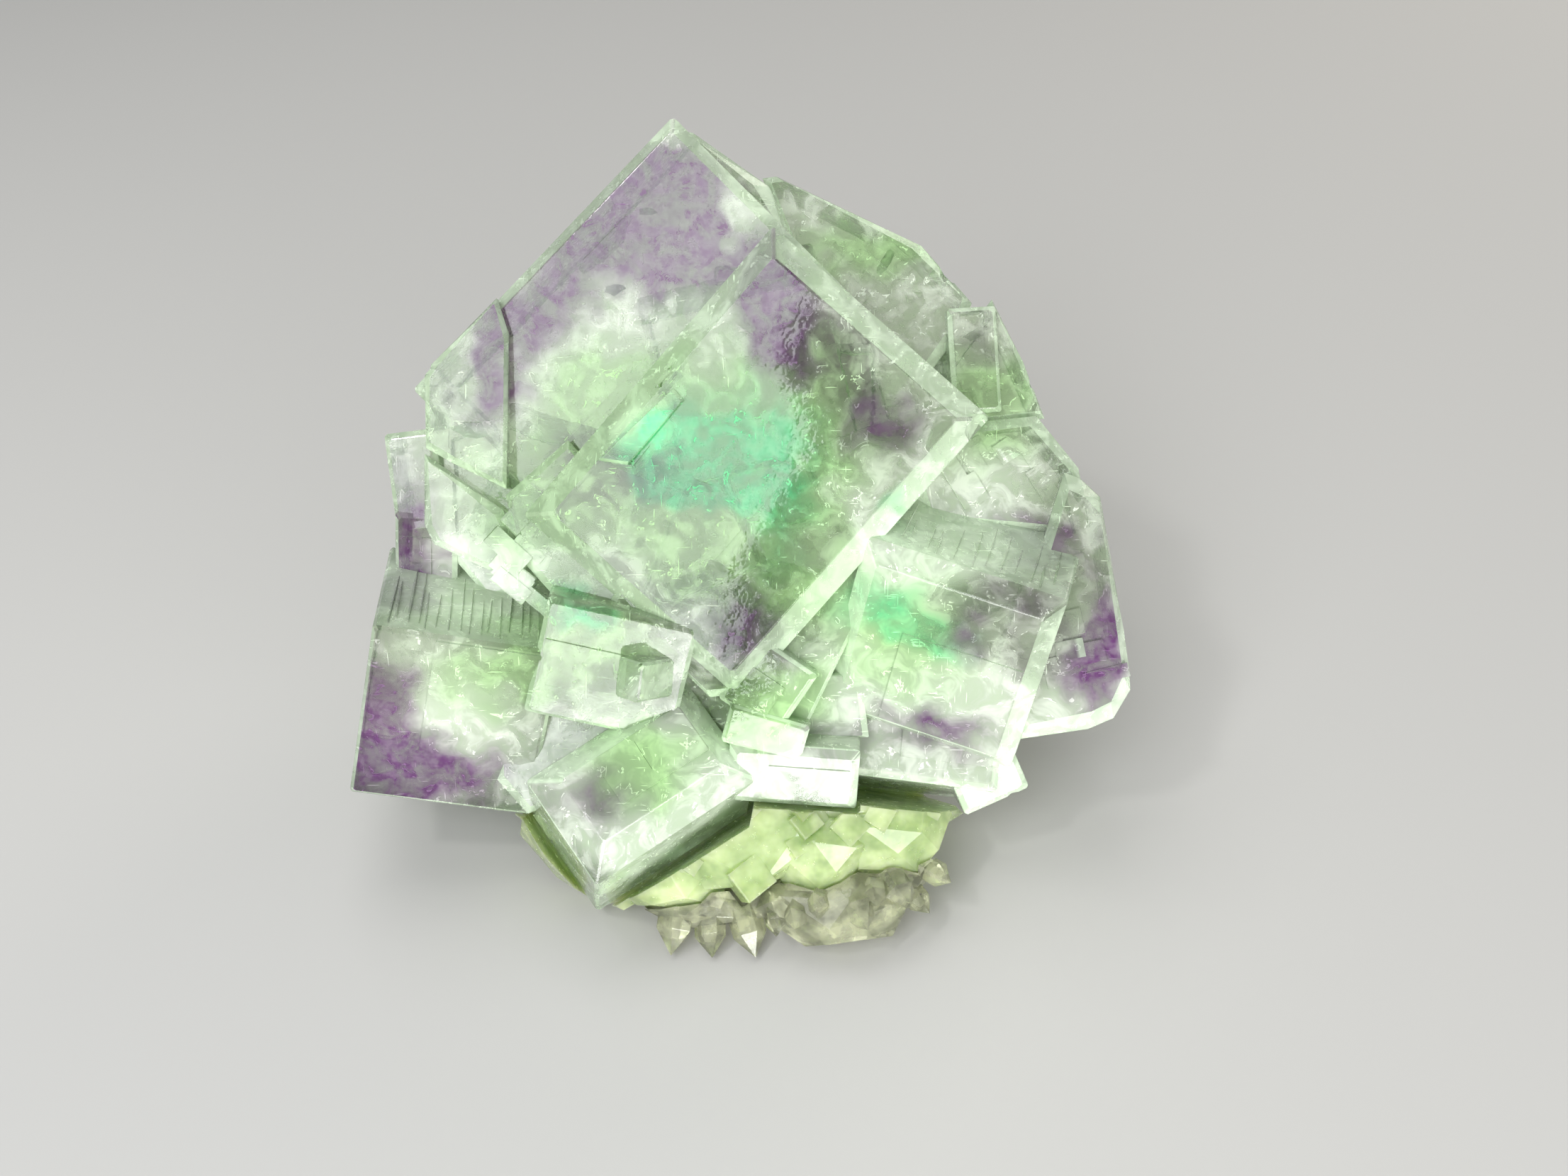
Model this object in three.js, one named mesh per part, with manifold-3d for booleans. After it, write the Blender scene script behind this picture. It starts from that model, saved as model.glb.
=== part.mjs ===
// A fluorite specimen: a fan of intergrown glassy cubes on a yellow-green fluorite base with a foot of
// small quartz points. Millimetres, +Z up, origin at the middle of the underside.
import * as THREE from "three";
import { ConvexGeometry } from "three/addons/geometries/ConvexGeometry.js";
import { mergeVertices } from "three/addons/utils/BufferGeometryUtils.js";
import Module from "manifold-3d";

const wasm = await Module();
wasm.setup();

// The show side is a plane that leans back. Crystals are placed in it: u to the right, v up the slope and
// w out of it, towards the person looking.
const SHOW_LEAN = 52;
const SHOW_HEIGHT = 28;
// Air left between two solids that touch in the real piece.
const GAP = 0.3;
const CRYSTAL_EDGE = 0.25;
// Height of one growth step on a crystal face.
const STEP_HEIGHT = 0.16;
const FLOOR = new THREE.Vector3(0, 0, 1);

const showFrame = new THREE.Matrix4()
  .makeTranslation(0, 0, SHOW_HEIGHT)
  .multiply(new THREE.Matrix4().makeRotationX(THREE.MathUtils.degToRad(SHOW_LEAN)));

// A repeatable random number between 0 and 1.
function dice(seed) {
  let state = seed;
  return () => {
    state = (state + 0x6d2b79f5) | 0;
    let t = Math.imul(state ^ (state >>> 15), 1 | state);
    t = (t + Math.imul(t ^ (t >>> 7), 61 | t)) ^ t;
    return ((t ^ (t >>> 14)) >>> 0) / 4294967296;
  };
}

function solid(geometry) {
  const bare = new THREE.BufferGeometry().setAttribute("position", geometry.getAttribute("position"));
  if (geometry.index) bare.setIndex(geometry.index);
  const merged = mergeVertices(bare, 1e-4);
  const made = new wasm.Mesh({
    numProp: 3,
    vertProperties: merged.attributes.position.array,
    triVerts: new Uint32Array(merged.index.array),
  });
  return new wasm.Manifold(made);
}

function join(solids) {
  return solids.reduce((all, one) => all.add(one));
}

function largest(made) {
  return made.decompose().reduce((best, one) => (one.volume() > best.volume() ? one : best));
}

function geometryOf(made) {
  const mesh = made.getMesh();
  const geometry = new THREE.BufferGeometry();
  geometry.setAttribute("position", new THREE.BufferAttribute(mesh.vertProperties, 3));
  geometry.setIndex(new THREE.BufferAttribute(mesh.triVerts, 1));
  geometry.computeVertexNormals();
  return geometry;
}

// A block with bevelled edges. Its front face is centred on the origin and looks along +Z.
function block([width, height, depth], bevel, edge, grow) {
  const levels = [
    [grow, bevel],
    [-bevel, 0],
    [-depth + edge, 0],
    [-depth - grow, edge],
  ];
  const corners = [];
  for (const [z, inset] of levels) {
    const x = width / 2 + grow - inset;
    const y = height / 2 + grow - inset;
    for (const [sx, sy] of [[1, 1], [1, -1], [-1, 1], [-1, -1]]) {
      corners.push(new THREE.Vector3(sx * x, sy * (y - edge), z));
      corners.push(new THREE.Vector3(sx * (x - edge), sy * y, z));
    }
  }
  return new ConvexGeometry(corners);
}

function pose([u, v, w], [spin, tip, turn]) {
  const angles = [tip, turn, spin].map(THREE.MathUtils.degToRad);
  const rotation = new THREE.Euler(angles[0], angles[1], angles[2], "ZXY");
  return new THREE.Matrix4().makeRotationFromEuler(rotation).setPosition(u, v, w);
}

// Each crystal: the middle of its front face in the show plane, the face's width and height and the
// crystal's depth, its spin in the plane, its tip back and its turn, the bevel round the front face, and
// how many growth steps lie on that face.
const CRYSTALS = {
  great_cube: { at: [-7.8, 15.5, -4.5], size: [37.4, 32.6, 21], turned: [-45, 6, 0], bevel: 1.0, steps: 2 },
  raised_face: { at: [-2.6, 10.1, 0], size: [24.2, 32.2, 12], turned: [-41.5, 5, 0], bevel: 2.0, steps: 1 },
  left_cube: { at: [-28.1, -11.6, -3.2], size: [15.6, 16.6, 15.4], turned: [-14, 25, 12], bevel: 0.3, steps: 1 },
  left_step: { at: [-31.5, 3.3, -8], size: [5.5, 6.5, 9], turned: [-4, 20, 0], bevel: 0.4, steps: 1 },
  left_tip: { at: [-32.2, 9.2, -7], size: [4.6, 9.0, 9], turned: [7, 4, -5], bevel: 0.5, steps: 1 },
  right_prism: { at: [16.8, 20, -8.0], size: [4.4, 9.4, 10], turned: [4, 4, 4], bevel: 0.4, steps: 1 },
  right_cube: { at: [13.0, -6.4, -3], size: [17.6, 17.6, 13], turned: [-14, 30, -8], bevel: 1.6, steps: 1 },
  right_low: { at: [17.6, -16.0, -8], size: [6.2, 6.5, 9], turned: [24, 10, 0], bevel: 0.5, steps: 1 },
  right_foot: { at: [12, -14.2, -7.5], size: [14, 5.5, 10], turned: [-7, -12, 0], bevel: 0.6, steps: 1 },
  middle_cube: { at: [-14.6, -7.0, -1.6], size: [12.8, 10.4, 12], turned: [-14, 14, 6], bevel: 0.4, steps: 1 },
  middle_bud: { at: [-12.9, -7.6, 0.8], size: [2.6, 3.4, 5], turned: [-8, 10, -34], bevel: 0.15, steps: 0 },
  low_cube: { at: [-11.9, -15.4, -0.5], size: [10.8, 16.2, 12], turned: [-58, -17, -17], bevel: 2.2, steps: 1 },
  low_plate: { at: [0.8, -16.2, -3.4], size: [11.2, 5.4, 9], turned: [-4, 16, 0], bevel: 0.7, steps: 1 },
  nook_cube: { at: [-1.4, -8.4, -2.4], size: [6, 6.4, 8], turned: [-34, 8, 0], bevel: 0.4, steps: 1 },
  nook_step: { at: [-1.6, -12.4, -2.6], size: [7, 3.4, 8], turned: [-16, 10, 0], bevel: 0.3, steps: 0 },
  back_left: { at: [-18, 8, -20], size: [19, 17, 15], turned: [-20, -12, 8], bevel: 0.5, steps: 0 },
  back_top: { at: [-4, 22, -19], size: [17, 17, 12], turned: [12, -10, -6], bevel: 0.5, steps: 0 },
  back_right: { at: [12, 6, -17], size: [18, 17, 15], turned: [-68, 10, 8], bevel: 0.5, steps: 0 },
};

// Crystals whose corners are cut off by their neighbours or broken. Each is the outline of its front in the
// show plane, the height w of that front, the depth behind it and the bevel round it.
const BROKEN_CRYSTALS = {
  lower_bulge: {
    outline: [[-23.9, 7.9], [-22.5, 2.4], [-18.5, -2.0], [-13.7, -3.2], [-8.9, 1.8], [-18.5, 12.7]],
    front: -3.6, depth: 12, bevel: 0.8,
  },
  lower_tip: {
    outline: [[-14.8, -1.2], [-12.6, -3.3], [-6.3, -9.3], [-2.6, -8.8], [-2.6, -6.1], [-12.4, 4.2]],
    front: -2.8, depth: 10, bevel: 0.7,
  },
  left_twin: {
    outline: [
      [-30.8, 18.2], [-30.3, 19.1], [-24.6, 24.9], [-23.6, 21.8], [-23.8, 8.5], [-28.2, 10.6], [-30.7, 12.0],
    ],
    front: -3.9, depth: 12, bevel: 0.6,
  },
  left_wedge: {
    outline: [[-31.0, 11.6], [-24.2, 6.7], [-21.5, 0.9], [-25.5, 1.6], [-30.2, 3.8], [-31.0, 5.5]],
    front: -4.6, depth: 11, bevel: 0.8,
  },
  left_filling: {
    outline: [[-30.4, 14.0], [-22.0, 16.0], [-18.0, 1.0], [-26.0, -1.0], [-30.4, 4.0]],
    front: -8.5, depth: 9, bevel: 0.6,
  },
  bevel_flake: {
    outline: [[-15.4, 10.6], [-9.2, 16.6], [-8.3, 15.6], [-13.0, 10.2]],
    front: 0.7, depth: 3, bevel: 0.3,
  },
  nook_filling: {
    outline: [[-10.0, -7.5], [6.7, -7.4], [7.4, -13.0], [-8.5, -13.2]],
    front: -6.3, depth: 8, bevel: 0.6,
  },
  low_filling: {
    outline: [
      [-24.9, -8.0], [-18.8, -9.2], [-12.7, -10.5], [-15.1, -16.6], [-20.0, -17.8], [-22.2, -19.6],
      [-24.9, -16.6],
    ],
    front: -5.5, depth: 9, bevel: 0.8,
  },
  nook_side: {
    outline: [[-4.0, -7.3], [3.3, 0.6], [7.5, 5.4], [7.8, 0.0], [1.8, -12.2], [-2.8, -12.8]],
    front: -4.5, depth: 9, bevel: 0.8,
  },
  top_side: {
    outline: [[-10.8, 40.3], [-8.1, 40.3], [-1.3, 35.5], [1.2, 30.0], [-6.6, 29.7]],
    front: -8, depth: 10, bevel: 1.4,
  },
  etched_side: {
    outline: [
      [-1.9, 36.4], [-0.7, 36.6], [5.9, 33.2], [12.2, 30.4], [14.0, 26.9],
      [16.7, 25.3], [15.3, 22.2], [12.2, 18.1], [0.3, 30.0],
    ],
    front: -9, depth: 11, bevel: 1.0,
  },
  right_shoulder: {
    outline: [
      [18.5, 25.7], [19.0, 23.9], [21.3, 20.1], [21.6, 17.9], [23.2, 15.1], [17.2, 14.4], [14.7, 20.7],
    ],
    front: -9.5, depth: 10, bevel: 0.8,
  },
  right_back: {
    outline: [[15.5, 14.5], [22.3, 15.2], [26.0, 10.6], [27.2, 4.6], [12.2, 5.8], [10.5, 11.9]],
    front: -8, depth: 12, bevel: 1.2,
  },
  right_side: {
    outline: [
      [24.5, 10.1], [26.0, 9.5], [27.6, 8.0], [28.0, 5.5], [29.7, -3.7], [30.2, -7.4], [30.3, -8.9],
      [28.8, -11.4], [26.7, -12.3], [20.5, -13.2], [18.1, -10.5],
    ],
    front: -6, depth: 12, bevel: 1.6,
  },
};

// A broken crystal: the hull of its outline at three depths, narrower towards its front.
function brokenBlock({ outline, front, depth, bevel }, grow) {
  const shape = outline.map(([u, v]) => new THREE.Vector2(u, v));
  const middle = shape.reduce((sum, point) => sum.add(point), new THREE.Vector2()).divideScalar(shape.length);
  const levels = [[front + grow, -bevel], [front - bevel * 0.8, grow], [front - depth - grow, grow - 0.8]];
  const corners = [];
  for (const [w, out] of levels) {
    for (const point of shape) {
      const away = point.clone().sub(middle);
      away.setLength(Math.max(away.length() + out, 0.3));
      corners.push(new THREE.Vector3(middle.x + away.x, middle.y + away.y, w));
    }
  }
  return new ConvexGeometry(corners);
}

// Thin rectangular growth steps, each on the one before, that lie on a crystal's front face.
function growthSteps(size, bevel, steps, seed) {
  const roll = dice(seed);
  const made = [];
  for (let i = 1; i <= steps; i += 1) {
    const width = (size[0] - 2 * bevel) * (0.85 - 0.11 * i - 0.14 * roll());
    const height = (size[1] - 2 * bevel) * (0.85 - 0.11 * i - 0.14 * roll());
    const x = (seed % 2 ? -0.46 : 0.46) * (size[0] - 2 * bevel - width);
    const y = (seed % 3 ? -0.46 : 0.46) * (size[1] - 2 * bevel - height);
    const step = new THREE.BoxGeometry(width, height, 2);
    made.push(step.translate(x, y, STEP_HEIGHT * i - 1));
  }
  return made;
}

// Striations on a crystal's upper side face: which crystal, how many, how high, and the share of the side's
// depth that they run along.
const STRIATIONS = [
  { crystal: "left_cube", ridges: 17, height: 0.34, run: 0.72, seed: 71 },
  { crystal: "right_cube", ridges: 13, height: 0.22, run: 0.6, seed: 72 },
  { crystal: "middle_cube", ridges: 6, height: 0.16, run: 0.5, seed: 73 },
];

// Low wedges that run back from the front edge over the upper side face.
function striations({ crystal, ridges, height, run, seed }) {
  const { at, size: [width, tall, depth], turned, bevel } = CRYSTALS[crystal];
  const place = showFrame.clone().multiply(pose(at, turned));
  const roll = dice(seed);
  const made = [];
  for (let i = 0; i < ridges; i += 1) {
    const x = (-0.5 + (i + 0.2 + 0.6 * roll()) / ridges) * (width - 1.2);
    const near = -bevel - 0.3 - 0.12 * depth * roll();
    const far = near - depth * run * (0.45 + 0.55 * roll());
    const half = 0.16 + 0.24 * roll();
    const high = height * (0.5 + 0.7 * roll());
    const lean = 0.5 * (roll() - 0.5);
    const corners = [];
    for (const [z, share] of [[near, 0.55], [(near + far) / 2, 1], [far, 0.3]]) {
      corners.push(new THREE.Vector3(x - half + lean * (z - near) * 0.1, tall / 2 - 0.4, z));
      corners.push(new THREE.Vector3(x + half + lean * (z - near) * 0.1, tall / 2 - 0.4, z));
      corners.push(new THREE.Vector3(x + lean * (z - near) * 0.1, tall / 2 + high * share, z));
    }
    made.push(solid(new ConvexGeometry(corners).applyMatrix4(place)));
  }
  return made;
}

// Terraces left by etching on the broken side at the upper right and on the side block: the corners of the
// field in the show plane, the height w of the face, the spin of the terraces and how many there are.
const ETCHED_FIELDS = [
  { from: [2.0, 23.5], to: [10.0, 29.8], w: -9.0, spin: -41, count: 15, seed: 81 },
  { from: [14.5, 8.5], to: [24.0, 13.0], w: -8.0, spin: -58, count: 8, seed: 82 },
  { from: [22.0, -9.0], to: [28.0, 4.0], w: -6.0, spin: 12, count: 10, seed: 83 },
  { from: [-26.5, -3.0], to: [-20.0, 8.0], w: -3.6, spin: -41, count: 7, seed: 84 },
];

function terraces({ from, to, w, spin, count, seed }) {
  const roll = dice(seed);
  const made = [];
  for (let i = 0; i < count; i += 1) {
    const u = from[0] + (to[0] - from[0]) * roll();
    const v = from[1] + (to[1] - from[1]) * roll();
    const size = [1.2 + 3.4 * roll(), 0.8 + 1.8 * roll(), 2.4];
    const step = new THREE.BoxGeometry(...size).translate(0, 0, -size[2] / 2);
    step.applyMatrix4(pose([u, v, w + 0.06 + 0.3 * roll()], [spin + 4 * (roll() - 0.5), 0, 0]));
    made.push(solid(step.applyMatrix4(showFrame)));
  }
  return made;
}

// Corners and edges that are chipped: the middle of each chip in the show frame and its radius.
const CHIPS = [
  [[16.2, 13.4, -0.4], 1.7],
  [[-11.0, 17.4, 0.2], 1.25],
  [[-9.9, 18.6, 0.1], 0.9],
  [[-30.9, 18.9, -5.0], 1.2],
  [[2.0, -11.2, -1.4], 0.9],
  [[30.6, -5.6, -8.2], 1.3],
  [[28.7, 5.4, -7.4], 0.9],
  [[24.6, 10.6, -7.6], 0.9],
  [[6.2, 34.4, -9.4], 1.2],
  [[10.0, 32.8, -9.6], 0.9],
  [[14.2, 27.6, -9.8], 1.3],
  [[21.9, 18.0, -10.2], 0.9],
  [[-8.6, -23.4, -2.0], 1.1],
  [[6.6, -18.8, -3.8], 0.8],
  [[-35.9, -4.2, -2.2], 0.8],
  [[-36.6, 9.0, -8.0], 0.9],
  [[20.4, -18.6, -9.0], 0.9],
  [[0.8, -3.0, -0.6], 0.8],
  [[-20.6, 12.0, -0.6], 0.8],
  [[21.6, -1.0, -4.6], 0.8],
];

function chips() {
  return CHIPS.map(([at, radius], i) => {
    const middle = new THREE.Vector3(...at).applyMatrix4(showFrame);
    return lump(middle.toArray(), [radius, radius * 0.85, radius], 10, 130 + i, 0);
  });
}

// Small cubes that stand out of the back of the cluster: how many, and the field that they are strewn over.
const BACK_CUBES = 13;
const BACK_FIELD = { left: -20, right: 13, low: 0, high: 30, deep: -21 };

function backCubes(grow) {
  const roll = dice(19);
  const made = [];
  for (let i = 0; i < BACK_CUBES; i += 1) {
    const edge = 4.5 + 5 * roll();
    const u = BACK_FIELD.left + (BACK_FIELD.right - BACK_FIELD.left) * ((i + roll()) / BACK_CUBES);
    const v = BACK_FIELD.low + (BACK_FIELD.high - BACK_FIELD.low) * roll() * (1 - Math.abs(u + 4) / 34);
    const turned = [90 * roll(), 24 * (roll() - 0.5), 24 * (roll() - 0.5)];
    const cube = block([edge, edge, edge], CRYSTAL_EDGE, CRYSTAL_EDGE, grow);
    made.push(solid(cube.applyMatrix4(pose([u, v, BACK_FIELD.deep], turned)).applyMatrix4(showFrame)));
  }
  return made;
}

// The space between the front crystals and the person looking, where the base doesn't reach.
const VIEW_DEPTH = 16;

function inFront() {
  const towards = new THREE.Vector3(0, 0, VIEW_DEPTH).transformDirection(showFrame).multiplyScalar(VIEW_DEPTH);
  const blocks = Object.values(CRYSTALS).map(({ at, size, turned, bevel }) => {
    const place = showFrame.clone().multiply(pose(at, turned));
    return solid(block(size, bevel, CRYSTAL_EDGE, GAP).applyMatrix4(place));
  });
  const broken = Object.values(BROKEN_CRYSTALS).map((crystal) => {
    return solid(brokenBlock(crystal, GAP).applyMatrix4(showFrame));
  });
  return join([...blocks, ...broken].map((one) => wasm.Manifold.hull([one, one.translate(towards.toArray())])));
}

// The crystals as one solid, in the row frame. With grow, each is larger all round by that much.
function cubes(grow) {
  const made = backCubes(grow);
  Object.values(CRYSTALS).forEach(({ at, size, turned, bevel, steps }, i) => {
    const place = showFrame.clone().multiply(pose(at, turned));
    made.push(solid(block(size, bevel, CRYSTAL_EDGE, grow).applyMatrix4(place)));
    if (grow > 0) return;
    for (const step of growthSteps(size, bevel, steps, 40 + i)) made.push(solid(step.applyMatrix4(place)));
  });
  for (const crystal of Object.values(BROKEN_CRYSTALS)) {
    made.push(solid(brokenBlock(crystal, grow).applyMatrix4(showFrame)));
  }
  if (grow > 0) return join(made);
  for (const field of STRIATIONS) made.push(...striations(field));
  for (const field of ETCHED_FIELDS) made.push(...terraces(field));
  return join(made).subtract(join(chips()));
}

// An irregular lump with flat facets: the hull of points strewn over an ellipsoid.
function lump([x, y, z], [rx, ry, rz], facets, seed, grow) {
  const roll = dice(seed);
  const corners = [];
  for (let i = 0; i < facets; i += 1) {
    const up = 1 - (2 * (i + 0.5)) / facets;
    const around = i * 2.39996 + (roll() - 0.5) * 0.9;
    const ring = Math.sqrt(1 - up * up);
    const far = 0.88 + 0.16 * roll();
    corners.push(new THREE.Vector3(
      x + (rx * far + grow) * ring * Math.cos(around),
      y + (ry * far + grow) * ring * Math.sin(around),
      z + (rz * far + grow) * up,
    ));
  }
  return solid(new ConvexGeometry(corners));
}

// The base: middle, radii and number of points of each lump, in the row frame.
const BASE_LUMPS = [
  [[-3, 8, 9.6], [17, 15, 11.6], 34],
  [[-15.0, -4.5, 6.2], [8.8, 9, 7.4], 40],
  [[-5, -4.5, 6.9], [12, 9.0, 6.8], 44],
  [[6, -2.0, 6.8], [10.5, 8.8, 7.0], 44],
  [[-3, 17, 7.6], [15, 11, 9.8], 30],
  [[9, 10, 8.0], [9, 12, 10], 26],
  [[-19.5, -1.5, 7.5], [5, 6, 5], 24],
  [[-9.5, -10.0, 4.6], [5.5, 4, 4], 26],
  [[3.0, -9.0, 6.2], [5.5, 4, 4.2], 26],
  [[8.6, -5.6, 6.6], [6.6, 5.6, 5.6], 36],
];
// Small cubes that stand out of the front three lumps: how many on each.
const BASE_CUBES = 14;

function base(grow) {
  const made = BASE_LUMPS.map(([at, radii, facets], i) => lump(at, radii, facets, 7 + i, grow));
  const roll = dice(311);
  for (const [[x, y, z], [rx, ry, rz]] of BASE_LUMPS.slice(1, 4)) {
    for (let i = 0; i < BASE_CUBES; i += 1) {
      const edge = 1.5 + 3.0 * roll() * roll();
      const around = Math.PI * (-0.5 + 1.1 * (roll() - 0.5));
      const up = -0.35 + 1.15 * roll();
      const ring = Math.sqrt(1 - up * up);
      const cube = new THREE.BoxGeometry(edge + 2 * grow, edge + 2 * grow, edge + 2 * grow);
      const turned = new THREE.Euler(0.5 + 0.4 * roll(), 0.3 * roll(), 0.6 + 0.5 * roll(), "XYZ");
      cube.applyMatrix4(new THREE.Matrix4().makeRotationFromEuler(turned));
      const reach = 0.88;
      cube.translate(
        x + reach * rx * ring * Math.cos(around),
        y + reach * ry * ring * Math.sin(around),
        z + reach * rz * up,
      );
      made.push(solid(cube));
    }
  }
  return join(made).trimByPlane(FLOOR.toArray(), 0);
}

// One quartz crystal: a six-sided prism with a pointed end, from its root along a direction.
function quartzPoint([x, y, z], [dx, dy, dz], radius, length, grow) {
  const corners = [new THREE.Vector3(0, length + grow, 0)];
  for (let i = 0; i < 6; i += 1) {
    const side = (i * Math.PI) / 3;
    const reach = radius * (i % 2 ? 1 : 0.86) + grow;
    for (const height of [-grow, length - radius * 1.25]) {
      corners.push(new THREE.Vector3(reach * Math.cos(side), height, reach * Math.sin(side)));
    }
  }
  const aim = new THREE.Vector3(dx, dy, dz).normalize();
  const turn = new THREE.Quaternion().setFromUnitVectors(new THREE.Vector3(0, 1, 0), aim);
  const made = new ConvexGeometry(corners);
  made.applyQuaternion(turn).translate(x, y, z);
  return solid(made);
}

// The quartz crust below the base's front and the points that stand out of it: root, direction, radius and
// length of each.
const QUARTZ_LUMPS = [
  [[4.2, -11.4, 3.0], [7.4, 5.4, 3.2], 26],
  [[-5.5, -10.0, 2.6], [7.5, 5.0, 2.8], 24],
  [[9.8, -8.6, 3.6], [3.6, 4.6, 3.0], 22],
];
const QUARTZ_POINTS = [
  [[-9.0, -11.5, 3.4], [-0.12, -0.8, -0.5], 1.7, 5.4],
  [[-6.4, -11.8, 3.2], [0.05, -0.85, -0.52], 1.5, 5.2],
  [[-4.0, -11.8, 3.2], [0.3, -0.85, -0.5], 1.6, 5.4],
  [[5.8, -12.2, 4.0], [0.25, -0.95, 0.15], 1.8, 4.8],
  [[9.2, -10.8, 4.6], [0.3, -0.85, 0.15], 1.5, 4.4],
  [[11.4, -9.0, 4.8], [0.7, -0.7, 0.1], 1.3, 4.2],
  [[1.2, -13.2, 3.8], [-0.1, -1, 0.2], 1.2, 3.4],
  [[3.2, -12.8, 4.6], [-0.2, -0.8, 0.4], 1.0, 3.2],
  [[7.6, -11.8, 4.6], [0.05, -0.9, 0.35], 1.2, 3.6],
  [[10.6, -10.2, 3.4], [0.5, -0.85, -0.1], 1.2, 3.8],
  [[-1.0, -12.2, 3.2], [0.1, -0.95, -0.15], 1.0, 3.6],
];

function quartz() {
  const made = QUARTZ_LUMPS.map(([at, radii, facets], i) => lump(at, radii, facets, 90 + i, 0));
  for (const [root, aim, radius, length] of QUARTZ_POINTS) made.push(quartzPoint(root, aim, radius, length, 0));
  return join(made).trimByPlane(FLOOR.toArray(), 0);
}

const cluster = largest(cubes(0));
const baseBody = largest(base(0).subtract(cubes(GAP)).subtract(inFront()));
const quartzBody = largest(quartz().subtract(cubes(GAP)).subtract(base(GAP)));

// The origin goes to the middle of the underside of the whole specimen.
const bounds = new THREE.Box3();
for (const made of [cluster, baseBody, quartzBody]) {
  const { min, max } = made.boundingBox();
  bounds.expandByPoint(new THREE.Vector3(...min));
  bounds.expandByPoint(new THREE.Vector3(...max));
}
const middle = bounds.getCenter(new THREE.Vector3());

const group = new THREE.Group();

function piece(name, made, look) {
  const geometry = geometryOf(made).translate(-middle.x, -middle.y, -bounds.min.z);
  const mesh = new THREE.Mesh(geometry, new THREE.MeshStandardMaterial(look));
  mesh.name = name;
  group.add(mesh);
}

piece("fluorite_crystals", cluster, { color: 0xbfe0c8, roughness: 0.12, metalness: 0 });
piece("fluorite_base", baseBody, { color: 0xcfe08a, roughness: 0.3, metalness: 0 });
piece("quartz_points", quartzBody, { color: 0xe6e0d0, roughness: 0.15, metalness: 0 });

export default group;
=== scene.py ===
"""Fluorite specimen: finishes the crystals, their base and the quartz foot, and sets the stage.

Laid out as an add-on. Everything is in metres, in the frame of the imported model.
"""
import math
import random

import bmesh
import bpy
from bpy.props import FloatProperty, FloatVectorProperty, IntProperty, PointerProperty
from mathutils import Matrix, Vector


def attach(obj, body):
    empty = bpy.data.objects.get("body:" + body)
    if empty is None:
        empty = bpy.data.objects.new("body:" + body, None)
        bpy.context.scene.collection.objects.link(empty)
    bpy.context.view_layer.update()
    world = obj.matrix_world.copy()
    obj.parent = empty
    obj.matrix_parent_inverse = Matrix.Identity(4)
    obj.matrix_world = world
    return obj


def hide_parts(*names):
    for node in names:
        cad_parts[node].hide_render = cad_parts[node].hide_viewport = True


bl_info = {
    "name": "Fluorite Specimen",
    "version": (1, 0, 0),
    "blender": (4, 5, 0),
    "location": "View3D > Sidebar > Specimen",
    "description": "Finishes a fluorite crystal specimen on its base, with a studio stage",
    "category": "Add Mesh",
}

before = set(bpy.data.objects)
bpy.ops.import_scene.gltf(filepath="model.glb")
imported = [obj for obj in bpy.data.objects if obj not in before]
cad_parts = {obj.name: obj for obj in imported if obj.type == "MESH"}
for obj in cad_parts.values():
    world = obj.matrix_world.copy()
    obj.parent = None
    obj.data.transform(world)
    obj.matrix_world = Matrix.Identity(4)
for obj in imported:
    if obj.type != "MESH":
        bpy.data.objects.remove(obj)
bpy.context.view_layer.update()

MM = 0.001
# The point of the show side that the camera looks at, and how far the show side leans, as in the solids.
SHOW_MIDDLE = Vector((4.337, -13.642, 28.0)) * MM
SHOW_LEAN = math.radians(52)
SHOW_TURN = Matrix.Rotation(SHOW_LEAN, 3, "X")

# How much each mineral bends light.
FLUORITE_IOR = 1.434
QUARTZ_IOR = 1.544

# Corners nearer to each other than this, in metres, are one corner.
SAME_CORNER = 1e-7
# Triangles that meet at a flatter angle than this, in degrees, are parts of one face.
FLAT = 0.6
# Edges are worn where their faces meet at more than this, in degrees: clean cubes, then broken stone.
CLEAN_EDGE = 24
BROKEN_EDGE = 18
# An edge has room for its rounding if it is this many widths long, and each edge at its ends this many.
ROOM_ALONG = 6
ROOM_BESIDE = 2.9
# The angles between a worn edge and its neighbours, in radians, at which the corner stays clean.
CORNER_LEAST = 0.7
CORNER_MOST = 2.5


def linear(code):
    """The linear colour, with alpha, of an sRGB hex code such as "#c8e2cf"."""
    parts = [int(code[i : i + 2], 16) / 255 for i in (1, 3, 5)]
    curve = [p / 12.92 if p <= 0.04045 else ((p + 0.055) / 1.055) ** 2.4 for p in parts]
    return (*curve, 1.0)


def show(u, v, w):
    """A point of the model from millimetres across, up and out of the show side."""
    return SHOW_MIDDLE + SHOW_TURN @ (Vector((u, v, w)) * MM)


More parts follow.
